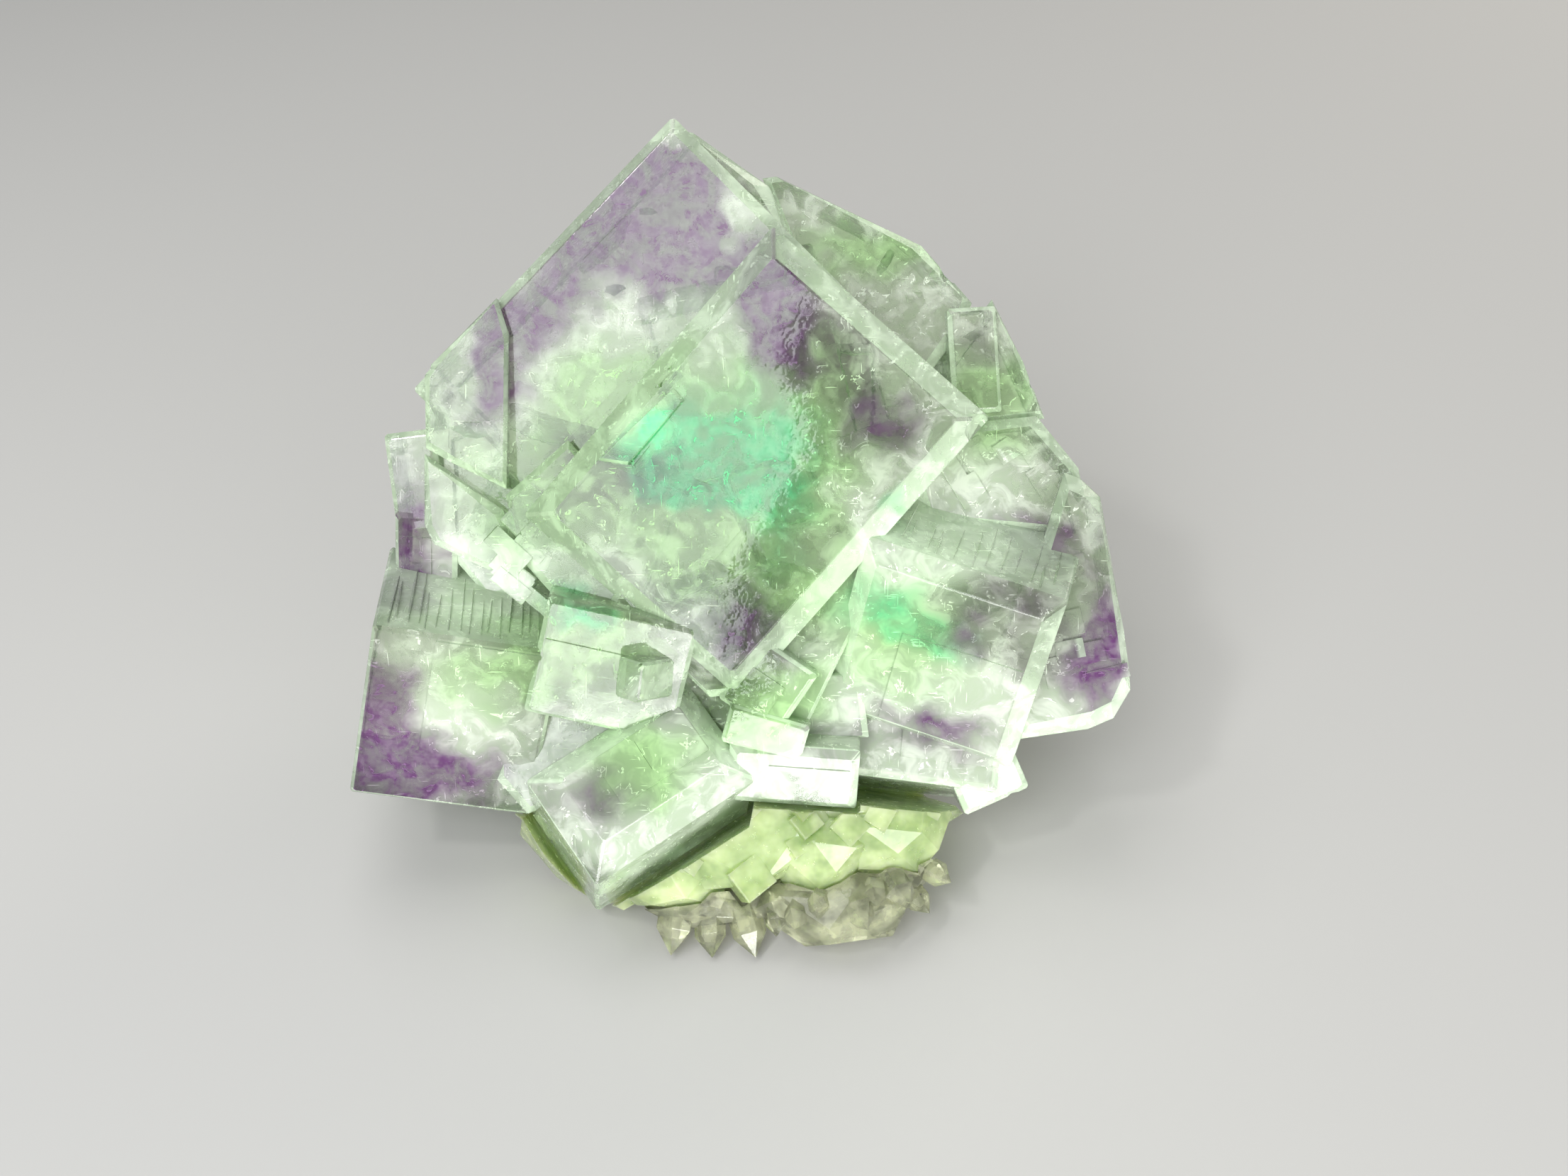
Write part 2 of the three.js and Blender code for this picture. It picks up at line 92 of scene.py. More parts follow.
class CrystalSettings(bpy.types.PropertyGroup):
    """Sizes and colours of the clear crystals."""

    edge: FloatProperty(
        name="Worn Edge",
        description="Width of the rounding on the crystal edges",
        default=0.11 * MM,
        unit="LENGTH",
    )
    crack_gap: FloatProperty(
        name="Crack Gap",
        description="Air inside a cleavage crack",
        default=0.035 * MM,
        unit="LENGTH",
    )
    clear: FloatVectorProperty(
        name="Clear",
        description="Colourless fluorite",
        subtype="COLOR",
        size=4,
        default=linear("#dbe3d2"),
    )
    green: FloatVectorProperty(
        name="Green",
        description="Pale green growth zones",
        subtype="COLOR",
        size=4,
        default=linear("#b0d798"),
    )
    teal: FloatVectorProperty(
        name="Teal",
        description="Blue-green core",
        subtype="COLOR",
        size=4,
        default=linear("#54cc86"),
    )
    frost: FloatVectorProperty(
        name="Frost",
        description="Etched bevels and side faces",
        subtype="COLOR",
        size=4,
        default=linear("#d6eecb"),
    )
    purple: FloatVectorProperty(
        name="Purple",
        description="Purple growth zones",
        subtype="COLOR",
        size=4,
        default=linear("#63396a"),
    )


class BaseSettings(bpy.types.PropertyGroup):
    """Sizes and colours of the milky base."""

    edge: FloatProperty(
        name="Worn Edge",
        description="Width of the rounding on the base's edges",
        default=0.16 * MM,
        unit="LENGTH",
    )
    lime: FloatVectorProperty(
        name="Lime",
        description="Yellow-green fluorite",
        subtype="COLOR",
        size=4,
        default=linear("#bdd694"),
    )
    pale: FloatVectorProperty(
        name="Pale",
        description="Weathered skin of the base",
        subtype="COLOR",
        size=4,
        default=linear("#d0dfaa"),
    )


class QuartzSettings(bpy.types.PropertyGroup):
    """Sizes and colours of the quartz."""

    edge: FloatProperty(
        name="Worn Edge",
        description="Width of the rounding on the quartz edges",
        default=0.07 * MM,
        unit="LENGTH",
    )
    clear: FloatVectorProperty(
        name="Clear",
        description="Clear quartz",
        subtype="COLOR",
        size=4,
        default=linear("#dfe2c4"),
    )
    milk: FloatVectorProperty(
        name="Milk",
        description="Milky quartz",
        subtype="COLOR",
        size=4,
        default=linear("#d2d6ae"),
    )


class StageSettings(bpy.types.PropertyGroup):
    """The stage round the specimen."""

    lens: FloatProperty(
        name="Lens",
        description="Focal length in millimetres",
        default=40.0,
    )
    distance: FloatProperty(
        name="Distance",
        description="Camera to the show side",
        default=145 * MM,
        unit="LENGTH",
    )
    lift: FloatProperty(
        name="Lift",
        description="Angle of the camera above the table",
        default=math.radians(38),
        subtype="ANGLE",
    )
    floor: FloatVectorProperty(
        name="Floor",
        description="Paper on the table",
        subtype="COLOR",
        size=4,
        default=linear("#b4b3af"),
    )
    bounces: IntProperty(
        name="Bounces",
        description="Times that light may pass a crystal face",
        default=6,
    )


def add_node(tree, kind, settings=None, links=None):
    """Adds a node, sets its values and sockets, and links outputs of other nodes to its inputs."""
    made = tree.nodes.new(kind)
    for key, value in (settings or {}).items():
        if isinstance(key, int) or key in made.inputs:
            made.inputs[key].default_value = value
        else:
            setattr(made, key, value)
    for key, source in (links or {}).items():
        tree.links.new(source, made.inputs[key])
    return made


def new_material(name):
    """An empty material with an output node."""
    material = bpy.data.materials.new(name)
    material.use_nodes = True
    material.node_tree.nodes.clear()
    output = add_node(material.node_tree, "ShaderNodeOutputMaterial")
    return material, material.node_tree, output


# A cloud of colour fades to nothing at this many times its reach, and its depth is this share of its width
# and height together.
CLOUD_RIM = 1.6
CLOUD_DEPTH = 0.75
# Where the crystal is coloured: middle of each cloud across, up and out of the show side, in millimetres,
# its reach across and up, and its strength.
PURPLE_CLOUDS = [
    (-12.0, 34.0, -6.3, 5.6, 4.2, 2.0),
    (-8.6, 28.8, -6.5, 4.8, 4.0, 1.6),
    (-17.5, 29.0, -6.3, 4.6, 3.4, 0.9),
    (-21.5, 23.5, -6.0, 4.4, 3.0, 0.7),
    (-24.8, 18.5, -4.4, 2.6, 4.4, 0.8),
    (-0.6, 23.6, -0.4, 2.8, 6.4, 1.1),
    (8.4, 14.2, -0.5, 3.8, 3.0, 0.65),
    (3.4, 19.0, -0.5, 3.2, 2.6, 0.3),
    (-3.4, -3.0, -1.2, 3.4, 4.0, 0.7),
    (2.4, 3.4, -1.0, 3.6, 3.0, 0.35),
    (18.6, -1.8, -5.0, 4.2, 3.8, 1.0),
    (22.6, 3.4, -9.0, 4.4, 2.8, 0.8),
    (27.2, -5.8, -7.0, 2.4, 6.0, 0.9),
    (13.4, -12.4, -6.0, 5.4, 2.4, 0.6),
    (-35.3, -11.5, -5.0, 4.0, 6.6, 1.1),
    (-31.0, -16.0, -8.0, 6.4, 3.4, 0.9),
    (-32.6, 4.0, -7.0, 2.8, 6.4, 0.7),
    (-33.6, -3.4, -6.0, 3.6, 4.0, 0.6),
    (-15.5, -17.5, -1.0, 4.0, 3.4, 0.5),
    (4.0, -12.5, -3.0, 4.0, 2.4, 0.4),
    (17.0, 21.5, -8.6, 2.0, 2.6, 0.4),
    (-16.0, 12.0, -33.0, 6.0, 4.0, 1.0),
    (6.0, 24.0, -30.0, 5.0, 6.0, 1.0),
    (16.0, 4.0, -27.0, 6.0, 5.0, 1.0),
    (24.0, -6.0, -17.0, 3.0, 4.0, 0.8),
]
GREEN_CLOUDS = [
    (-6.5, 10.6, -3.0, 11.0, 8.4, 0.9),
    (3.5, 16.0, -1.0, 7.0, 5.0, 0.55),
    (-2.8, 2.0, -1.0, 6.6, 5.0, 0.7),
    (10.0, -3.6, -3.5, 8.0, 6.4, 0.6),
    (-17.0, -4.6, -2.0, 5.4, 4.4, 0.9),
    (-25.5, -6.6, -4.0, 5.6, 4.4, 0.6),
    (7.5, 29.8, -9.2, 7.0, 2.6, 0.7),
    (17.5, 16.5, -9.0, 5.0, 5.4, 0.7),
    (-12.0, -15.0, -1.0, 5.0, 4.0, 0.8),
    (-15.5, 17.0, -5.0, 6.4, 4.4, 0.65),
    (-22.0, 7.0, -5.0, 6.0, 5.4, 0.65),
    (-1.6, -10.2, -3.0, 5.0, 3.4, 0.8),
    (-29.5, 14.0, -5.0, 3.6, 5.0, 0.4),
    (23.0, 0.0, -6.0, 3.6, 6.0, 0.4),
    (-4.0, 20.0, -28.0, 8.0, 8.0, 0.6),
    (-11.8, 13.2, 0.4, 3.2, 2.4, 1.4),
]
TEAL_CLOUDS = [
    (-6.2, 10.8, -0.6, 5.4, 3.2, 1.0),
    (-5.4, 11.6, -2.4, 8.4, 5.4, 0.6),
    (8.4, -1.2, -3.4, 4.4, 2.6, 0.55),
    (13.8, -4.4, -3.6, 3.6, 1.8, 0.5),
    (8.6, 7.4, -2.0, 1.4, 1.6, 1.0),
    (-17.2, -1.9, -2.0, 2.8, 1.7, 0.8),
    (-0.6, 5.0, -1.0, 2.6, 4.0, 0.4),
]
# Where the crystal is milky: partly veils of tiny bubbles, and partly painted light, milky patches that
# lighten the thin lower crystals where shade falls on them.
MILK_AND_PAINTED_LIGHT_CLOUDS = [
    (-11.5, -17.0, -2.0, 8.0, 5.4, 1.2),
    (8.0, -11.5, -6.0, 9.0, 4.6, 1.4),
    (16.0, -12.0, -6.0, 6.0, 5.0, 1.2),
    (-28.0, -10.0, -6.0, 7.0, 6.0, 0.6),
    (8.0, -4.0, -4.0, 8.0, 6.0, 0.45),
    (27.5, -8.0, -8.0, 4.0, 6.0, 0.9),
    (-27.5, 0.8, -7.0, 8.0, 3.4, 0.9),
    (14.5, 3.0, -8.0, 7.0, 3.0, 1.3),
    (16.0, 9.0, -8.0, 6.0, 5.0, 0.6),
    (-7.0, -20.5, -5.0, 7.0, 4.0, 1.5),
    (12.0, -17.5, -9.0, 8.0, 3.0, 1.0),
    (-11.8, 13.2, 0.5, 2.4, 1.8, 1.2),
    (7.0, 5.0, -1.5, 6.0, 7.0, 0.4),
    (-31.0, -15.0, -6.0, 7.0, 4.0, 0.5),
]


def cloud_field(tree, place, clouds):
    """The sum of soft balls of colour at a place that is given in millimetres of the show side."""
    total = None
    for u, v, w, across, up, strength in clouds:
        reach = Vector((across, up, CLOUD_DEPTH * (across + up))) * CLOUD_RIM
        squeeze = [1 / r for r in reach]
        shift = (-u / reach.x, -v / reach.y, -w / reach.z)
        fitted = add_node(
            tree,
            "ShaderNodeVectorMath",
            {"operation": "MULTIPLY_ADD", 1: squeeze, 2: shift},
            {0: place},
        )
        ball = add_node(
            tree, "ShaderNodeTexGradient", {"gradient_type": "SPHERICAL"}, {"Vector": fitted.outputs[0]}
        )
        how = "MULTIPLY"
        links = {0: ball.outputs[1]}
        if total is not None:
            how = "MULTIPLY_ADD"
            links[2] = total
        total = add_node(tree, "ShaderNodeMath", {"operation": how, 1: strength}, links).outputs[0]
    soft = add_node(
        tree,
        "ShaderNodeMapRange",
        {"interpolation_type": "SMOOTHSTEP", "From Min": 0.04, "From Max": 0.58},
        {"Value": total},
    )
    return soft.outputs[0]


def zoned_fluorite(settings):
    """Clear fluorite with green and purple growth zones.

    Fluorite bends light little, so it looks soft and watery beside quartz. Its colour lies in soft clouds,
    its growth faces are glossy, and etching leaves them with short white scratches and frosted patches.
    """
    material, tree, output = new_material("fluorite_zoned_natural_growth_faces")
    spot = add_node(tree, "ShaderNodeTexCoord")
    # Millimetres across, up and out of the show side.
    back = SHOW_TURN.inverted().to_4x4() @ Matrix.Translation(-SHOW_MIDDLE)
    place = add_node(
        tree,
        "ShaderNodeMapping",
        {
            "Scale": (1 / MM,) * 3,
            "Rotation": (-SHOW_LEAN, 0.0, 0.0),
            "Location": back.translation / MM,
        },
        {"Vector": spot.outputs["Object"]},
    ).outputs[0]

    # Clouds drift by up to 3 mm and mostly by 1 mm, so that their rims are ragged.
    drift_reach = 3.0
    drift = add_node(
        tree, "ShaderNodeTexNoise", {"Scale": 0.27, "Detail": 1.0, "Roughness": 0.65}, {"Vector": place}
    )
    moved = add_node(
        tree,
        "ShaderNodeVectorMath",
        {"operation": "MULTIPLY_ADD", 1: (2 * drift_reach,) * 3},
        {0: drift.outputs["Color"], 2: place},
    )
    ragged = add_node(
        tree,
        "ShaderNodeVectorMath",
        {"operation": "SUBTRACT", 1: (drift_reach,) * 3},
        {0: moved.outputs[0]},
    ).outputs[0]
    purple_amount = cloud_field(tree, ragged, PURPLE_CLOUDS)
    green_amount = cloud_field(tree, ragged, GREEN_CLOUDS)
    teal_amount = cloud_field(tree, ragged, TEAL_CLOUDS)
    # Milky clouds: partly bubble veils, partly painted light that lightens the shaded lower crystals.
    milky_and_painted_light_amount = cloud_field(tree, place, MILK_AND_PAINTED_LIGHT_CLOUDS)

    # Frost: soft specks about 1 mm wide, in the relief, the gloss and the colour.
    frost = add_node(
        tree, "ShaderNodeTexNoise", {"Scale": 0.9, "Detail": 2.0, "Roughness": 0.7}, {"Vector": place}
    ).outputs[0]

    # Wisps about 2 mm long break the clouds up, and leave drifts of faint green between them.
    wisps = add_node(
        tree, "ShaderNodeTexNoise", {"Scale": 0.5, "Detail": 3.0, "Roughness": 0.62}, {"Vector": ragged}
    ).outputs[0]
    wisp_mask = add_node(
        tree,
        "ShaderNodeMapRange",
        {"From Min": 0.36, "From Max": 0.54, "To Min": 0.8, "To Max": 1.0},
        {"Value": wisps},
    )
    speckle = add_node(
        tree,
        "ShaderNodeMapRange",
        {"From Min": 0.4, "From Max": 0.58, "To Min": 0.88, "To Max": 1.0},
        {"Value": frost},
    )
    mottle = add_node(
        tree, "ShaderNodeMath", {"operation": "MULTIPLY"}, {0: wisp_mask.outputs[0], 1: speckle.outputs[0]}
    ).outputs[0]
    purple_mask = add_node(tree, "ShaderNodeMath", {"operation": "MULTIPLY"}, {0: purple_amount, 1: mottle})
    teal_mask = add_node(tree, "ShaderNodeMath", {"operation": "MULTIPLY"}, {0: teal_amount, 1: mottle})
    faint_green = add_node(
        tree,
        "ShaderNodeMapRange",
        {"From Min": 0.36, "From Max": 0.52, "To Min": 0.3, "To Max": 0.0},
        {"Value": wisps},
    )
    green_mask = add_node(
        tree, "ShaderNodeMath", {"operation": "MAXIMUM"}, {0: green_amount, 1: faint_green.outputs[0]}
    )
    with_green = add_node(
        tree,
        "ShaderNodeMix",
        {"data_type": "RGBA", 6: tuple(settings.clear), 7: tuple(settings.green)},
        {0: green_mask.outputs[0]},
    )
    with_teal = add_node(
        tree,
        "ShaderNodeMix",
        {"data_type": "RGBA", 7: tuple(settings.teal)},
        {0: teal_mask.outputs[0], 6: with_green.outputs[2]},
    )
    with_purple = add_node(
        tree,
        "ShaderNodeMix",
        {"data_type": "RGBA", 7: tuple(settings.purple)},
        {0: purple_mask.outputs[0], 6: with_teal.outputs[2]},
    )

    # The faces that look out of the show side are glossy. Bevels are frosted by etching, and side faces
    # a little less.
    facing = add_node(
        tree,
        "ShaderNodeVectorMath",
        {"operation": "DOT_PRODUCT", 1: SHOW_TURN @ Vector((0, 0, 1))},
        {0: spot.outputs["Normal"]},
    )
    turned_away = add_node(
        tree, "ShaderNodeMapRange", {"From Min": 0.86, "From Max": 0.8}, {"Value": facing.outputs["Value"]}
    )
    bevelled = add_node(
        tree,
        "ShaderNodeMapRange",
        {"From Min": 0.3, "From Max": 0.5, "To Min": 0.6, "To Max": 1.0},
        {"Value": facing.outputs["Value"]},
    )
    side = add_node(
        tree, "ShaderNodeMath", {"operation": "MULTIPLY"}, {0: turned_away.outputs[0], 1: bevelled.outputs[0]}
    ).outputs[0]

    frosted = add_node(tree, "ShaderNodeMath", {"operation": "MULTIPLY", 1: 0.55}, {0: side})
    tint = add_node(
        tree,
        "ShaderNodeMix",
        {"data_type": "RGBA", 7: tuple(settings.frost)},
        {0: frosted.outputs[0], 6: with_purple.outputs[2]},
    )

    # Frosted specks are rougher than the clean face.
    face_roughness = add_node(
        tree,
        "ShaderNodeMapRange",
        {"From Min": 0.48, "From Max": 0.68, "To Min": 0.03, "To Max": 0.16},
        {"Value": frost},
    ).outputs[0]

    # Etch marks: white dashes about 2 mm long and 0.15 mm wide, along the two edges of the large cubes,
    # which stand on a corner. The noise has this many cells in a millimetre along and across a dash.
    cube_turn = math.radians(43)
    along_dash = 0.45
    across_dash = 6.0
    dashes = []
    for stretch in ((along_dash, across_dash, along_dash), (across_dash, along_dash, along_dash)):
        along = add_node(
            tree,
            "ShaderNodeMapping",
            {"Scale": stretch, "Rotation": (0.0, 0.0, cube_turn)},
            {"Vector": place},
        )
        dash = add_node(
            tree, "ShaderNodeTexNoise", {"Scale": 1.0, "Detail": 1.0}, {"Vector": along.outputs[0]}
        )
        dashes.append(dash.outputs[0])
    either = add_node(tree, "ShaderNodeMath", {"operation": "MAXIMUM"}, {0: dashes[0], 1: dashes[1]})
    dashed = add_node(
        tree, "ShaderNodeMapRange", {"From Min": 0.73, "From Max": 0.78}, {"Value": either.outputs[0]}
    )
    # Healed cracks: broken white lines about 0.15 mm wide that wander over a face.
    line = add_node(tree, "ShaderNodeMath", {"operation": "COMPARE", 1: 0.5, 2: 0.014}, {0: wisps})
    broken = add_node(tree, "ShaderNodeMapRange", {"From Min": 0.54, "From Max": 0.62}, {"Value": frost})
    wandering = add_node(
        tree, "ShaderNodeMath", {"operation": "MULTIPLY"}, {0: line.outputs[0], 1: broken.outputs[0]}
    )
    etched = add_node(
        tree, "ShaderNodeMath", {"operation": "MAXIMUM"}, {0: dashed.outputs[0], 1: wandering.outputs[0]}
    ).outputs[0]

    # Frosted sides are rougher than the show faces, and etch marks are the roughest.
    side_gain = 0.16
    mark_gain = 0.3
    skin = add_node(
        tree, "ShaderNodeMath", {"operation": "MULTIPLY_ADD", 1: side_gain}, {0: side, 2: face_roughness}
    )
    roughness = add_node(
        tree, "ShaderNodeMath", {"operation": "MULTIPLY_ADD", 1: mark_gain}, {0: etched, 2: skin.outputs[0]}
    )

    # Veils of tiny bubbles make milky patches about 2 mm wide. Frosted sides, the milky clouds (partly
    # painted light that lightens the shaded lower crystals) and the etch marks let less light through too.
    side_loss = -0.24
    milky_and_painted_light_loss = -0.34
    mark_loss = -0.4
    veil = add_node(
        tree,
        "ShaderNodeMapRange",
        {"From Min": 0.44, "From Max": 0.64, "To Min": 0.9, "To Max": 0.68},
        {"Value": wisps},
    ).outputs[0]
    clear_share = veil
    for loss, where in ((side_loss, side), (milky_and_painted_light_loss, milky_and_painted_light_amount), (mark_loss, etched)):
        clear_share = add_node(
            tree, "ShaderNodeMath", {"operation": "MULTIPLY_ADD", 1: loss}, {0: where, 2: clear_share}
        ).outputs[0]
    bump = add_node(tree, "ShaderNodeBump", {"Strength": 0.3, "Distance": 0.05 * MM}, {"Height": frost})
    shader = add_node(
        tree,
        "ShaderNodeBsdfPrincipled",
        {"IOR": FLUORITE_IOR},
        {
            "Base Color": tint.outputs[2],
            "Roughness": roughness.outputs[0],
            "Transmission Weight": clear_share,
            "Normal": bump.outputs[0],
        },
    )
    # A faint green gathers where the crystal is thick; the density is per metre.
    absorption = add_node(
        tree, "ShaderNodeVolumeAbsorption", {"Color": linear("#e0f2d2"), "Density": 24.0}
    )
    tree.links.new(shader.outputs[0], output.inputs["Surface"])
    tree.links.new(absorption.outputs[0], output.inputs["Volume"])
    return material


def milky_fluorite(settings):
    """Yellow-green fluorite, broken and etched.

    It is full of tiny bubbles, so light soaks in and comes out again, and its skin is satin.
    """
    material, tree, output = new_material("fluorite_yellow_green_etched")
    spot = add_node(tree, "ShaderNodeTexCoord")
    mapping = add_node(tree, "ShaderNodeMapping", {}, {"Vector": spot.outputs["Object"]})
    # Weathered patches about 3 mm wide.
    patches = add_node(
        tree,
        "ShaderNodeTexNoise",
        {"Scale": 300.0, "Detail": 3.0, "Roughness": 0.6},
        {"Vector": mapping.outputs[0]},
    )
    share = add_node(
        tree,
        "ShaderNodeMapRange",
        {"From Min": 0.38, "From Max": 0.66, "To Min": 0.0, "To Max": 1.0},
        {"Value": patches.outputs[0]},
    )
    colour = add_node(
        tree,
        "ShaderNodeMix",
        {"data_type": "RGBA", 6: tuple(settings.lime), 7: tuple(settings.pale)},
        {0: share.outputs[0]},
    )
    clear_share = add_node(
        tree, "ShaderNodeMapRange", {"To Min": 0.6, "To Max": 0.34}, {"Value": share.outputs[0]}
    )
    # Etched grain about 0.7 mm wide.
    grain = add_node(
        tree,
        "ShaderNodeTexNoise",
        {"Scale": 1500.0, "Detail": 3.0, "Roughness": 0.7},
        {"Vector": mapping.outputs[0]},
    )
    roughness = add_node(
        tree,
        "ShaderNodeMapRange",
        {"From Min": 0.3, "From Max": 0.7, "To Min": 0.06, "To Max": 0.3},
        {"Value": grain.outputs[0]},
    )
    bump = add_node(
        tree, "ShaderNodeBump", {"Strength": 0.2, "Distance": 0.06 * MM}, {"Height": grain.outputs[0]}
    )
    shader = add_node(
        tree,
        "ShaderNodeBsdfPrincipled",
        {
            "IOR": FLUORITE_IOR,
            "Subsurface Weight": 0.8,
            "Subsurface Radius": (0.9, 1.0, 0.5),
            "Subsurface Scale": 3 * MM,
        },
        {
            "Base Color": colour.outputs[2],
            "Roughness": roughness.outputs[0],
            "Transmission Weight": clear_share.outputs[0],
            "Normal": bump.outputs[0],
        },
    )
    absorption = add_node(
        tree, "ShaderNodeVolumeAbsorption", {"Color": linear("#cbe58a"), "Density": 25.0}
    )
    tree.links.new(shader.outputs[0], output.inputs["Surface"])
    tree.links.new(absorption.outputs[0], output.inputs["Volume"])
    return material


def druse_quartz(settings):
    """Quartz points: glassy faces that bend light more than fluorite, with milky veils."""
    material, tree, output = new_material("quartz_natural_points")
    spot = add_node(tree, "ShaderNodeTexCoord")
    mapping = add_node(tree, "ShaderNodeMapping", {}, {"Vector": spot.outputs["Object"]})
    # Milky veils about 2 mm wide.
    veils = add_node(
        tree,
        "ShaderNodeTexNoise",
        {"Scale": 420.0, "Detail": 3.0, "Roughness": 0.6},
        {"Vector": mapping.outputs[0]},
    )
    share = add_node(
        tree,
        "ShaderNodeMapRange",
        {"From Min": 0.4, "From Max": 0.65, "To Min": 0.0, "To Max": 1.0},
        {"Value": veils.outputs[0]},
    )
    colour = add_node(
        tree,
        "ShaderNodeMix",
        {"data_type": "RGBA", 6: tuple(settings.clear), 7: tuple(settings.milk)},
        {0: share.outputs[0]},
    )
    clear_share = add_node(
        tree, "ShaderNodeMapRange", {"To Min": 0.9, "To Max": 0.6}, {"Value": share.outputs[0]}
    )
    # Growth hills about 0.6 mm wide.
    growth = add_node(
        tree,
        "ShaderNodeTexNoise",
        {"Scale": 1800.0, "Detail": 2.0, "Roughness": 0.6},
        {"Vector": mapping.outputs[0]},
    )
    roughness = add_node(
        tree,
        "ShaderNodeMapRange",
        {"From Min": 0.4, "From Max": 0.7, "To Min": 0.03, "To Max": 0.22},
        {"Value": growth.outputs[0]},
    )
    bump = add_node(
        tree, "ShaderNodeBump", {"Strength": 0.15, "Distance": 0.08 * MM}, {"Height": growth.outputs[0]}
    )
    shader = add_node(
        tree,
        "ShaderNodeBsdfPrincipled",
        {"IOR": QUARTZ_IOR},
        {
            "Base Color": colour.outputs[2],
            "Roughness": roughness.outputs[0],
            "Transmission Weight": clear_share.outputs[0],
            "Normal": bump.outputs[0],
        },
    )
    absorption = add_node(
        tree, "ShaderNodeVolumeAbsorption", {"Color": linear("#e4e6cf"), "Density": 12.0}
    )
    tree.links.new(shader.outputs[0], output.inputs["Surface"])
    tree.links.new(absorption.outputs[0], output.inputs["Volume"])
    return material


def merged_copy(node, name):
    """A new object with the solid's mesh, its loose triangles merged into whole flat faces."""
    made = bmesh.new()
    made.from_mesh(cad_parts[node].data)
    bmesh.ops.remove_doubles(made, verts=made.verts, dist=SAME_CORNER)
    bmesh.ops.dissolve_limit(
        made,
        angle_limit=math.radians(FLAT),
        use_dissolve_boundaries=False,
        verts=made.verts,
        edges=made.edges,
    )
    mesh = bpy.data.meshes.new(name)
    made.to_mesh(mesh)
    made.free()
    piece = bpy.data.objects.new(name, mesh)
    bpy.context.scene.collection.objects.link(piece)
    return piece


def room_at(vert, edge, width):
    """Whether the rounding of an edge has room where it ends at a corner."""
    along = edge.other_vert(vert).co - vert.co
    for other in vert.link_edges:
        side = other.other_vert(vert).co - vert.co
        if side.length < ROOM_BESIDE * width:
            return False
        shares_face = any(face in edge.link_faces for face in other.link_faces)
        if other is edge or not shares_face:
            continue
        if not CORNER_LEAST < along.angle(side) < CORNER_MOST:
            return False
    return True


def wear_edges(piece, width, angle):
    """Rounds the outer edges that are sharper than the angle, where there is room for the rounding."""
    made = bmesh.new()
    made.from_mesh(piece.data)
    sharp = []
    for edge in made.edges:
        if not edge.is_convex or edge.calc_length() < ROOM_ALONG * width:
            continue
        if edge.calc_face_angle() < math.radians(angle):
            continue
        if all(room_at(vert, edge, width) for vert in edge.verts):
            sharp.append(edge)
    bmesh.ops.bevel(
        made,
        geom=sharp,
        offset=width,
        affect="EDGES",
        segments=2,
        profile=0.5,
        clamp_overlap=False,
        material=-1,
    )
    bmesh.ops.dissolve_degenerate(made, dist=SAME_CORNER, edges=made.edges)
    made.to_mesh(piece.data)
    made.free()


def set_modifiers(piece):
    """Makes the piece's modifiers part of its mesh."""
    view = bpy.context.evaluated_depsgraph_get()
    done = bpy.data.meshes.new_from_object(piece.evaluated_get(view))
    piece.modifiers.clear()
    old = piece.data
    piece.data = done
    done.name = piece.name
    bpy.data.meshes.remove(old)


# Cleavage cracks that run in from a face: middle across, up and out of the show side, and radius, all in
# millimetres, then the spin of the crack and how steeply it dives, in degrees.
CRACKS = [
    (-15.1, 29.9, -6.2, 3.4, 44, 84),
    (-11.7, 32.6, -6.4, 1.0, 5, 80),
    (-14.5, 26.0, -6.8, 1.0, 20, 66),
    (-9.6, 17.3, -1.0, 1.3, 35, 70),
    (-11.5, 11.2, -1.4, 2.0, 50, 80),
    (-6.8, 8.6, -1.0, 1.5, -20, 72),
    (11.8, 12.6, -2.0, 1.0, 60, 50),
    (-30.5, -12.5, -6.0, 2.0, 10, 60),
    (-29.0, -14.4, -6.4, 1.3, 74, 66),
    (-27.0, 13.6, -5.0, 1.6, 0, 62),
    (14.8, -6.0, -3.6, 1.4, 30, 74),
    (24.0, -8.5, -8.0, 2.2, 65, 76),
    (-12.0, -14.0, -1.6, 1.9, -60, 74),
    (17.0, 22.5, -9.4, 1.5, 15, 78),
    (9.0, 29.0, -9.6, 1.5, 55, 70),
    (20.0, 4.5, -10.0, 1.8, -10, 76),
]


def crack_cutter(gap):
    """One object that holds a thin ragged plate for each cleavage crack."""
    corners = 9
    shortest = 0.65
    spread = 0.5
    roll = random.Random(5)
    made = bmesh.new()
    for u, v, w, radius, spin, dive in CRACKS:
        ring = bmesh.ops.create_circle(made, segments=corners, radius=radius * MM, cap_ends=True)
        for vert in ring["verts"]:
            vert.co *= shortest + spread * roll.random()
        faces = [f for f in made.faces if all(v in ring["verts"] for v in f.verts)]
        grown = bmesh.ops.extrude_face_region(made, geom=faces)
        top = [g for g in grown["geom"] if isinstance(g, bmesh.types.BMVert)]
        bmesh.ops.translate(made, vec=(0, 0, gap), verts=top)
        turn = (
            SHOW_TURN
            @ Matrix.Rotation(math.radians(spin), 3, "Z")
            @ Matrix.Rotation(math.radians(dive), 3, "X")
        )
        whole = ring["verts"] + top
        bmesh.ops.transform(made, matrix=turn.to_4x4(), verts=whole)
        bmesh.ops.translate(made, vec=show(u, v, w), verts=whole)
    bmesh.ops.recalc_face_normals(made, faces=made.faces)
    mesh = bpy.data.meshes.new("crack_cutter")
    made.to_mesh(mesh)
    made.free()
    cutter = bpy.data.objects.new("crack_cutter", mesh)
    bpy.context.scene.collection.objects.link(cutter)
    return cutter


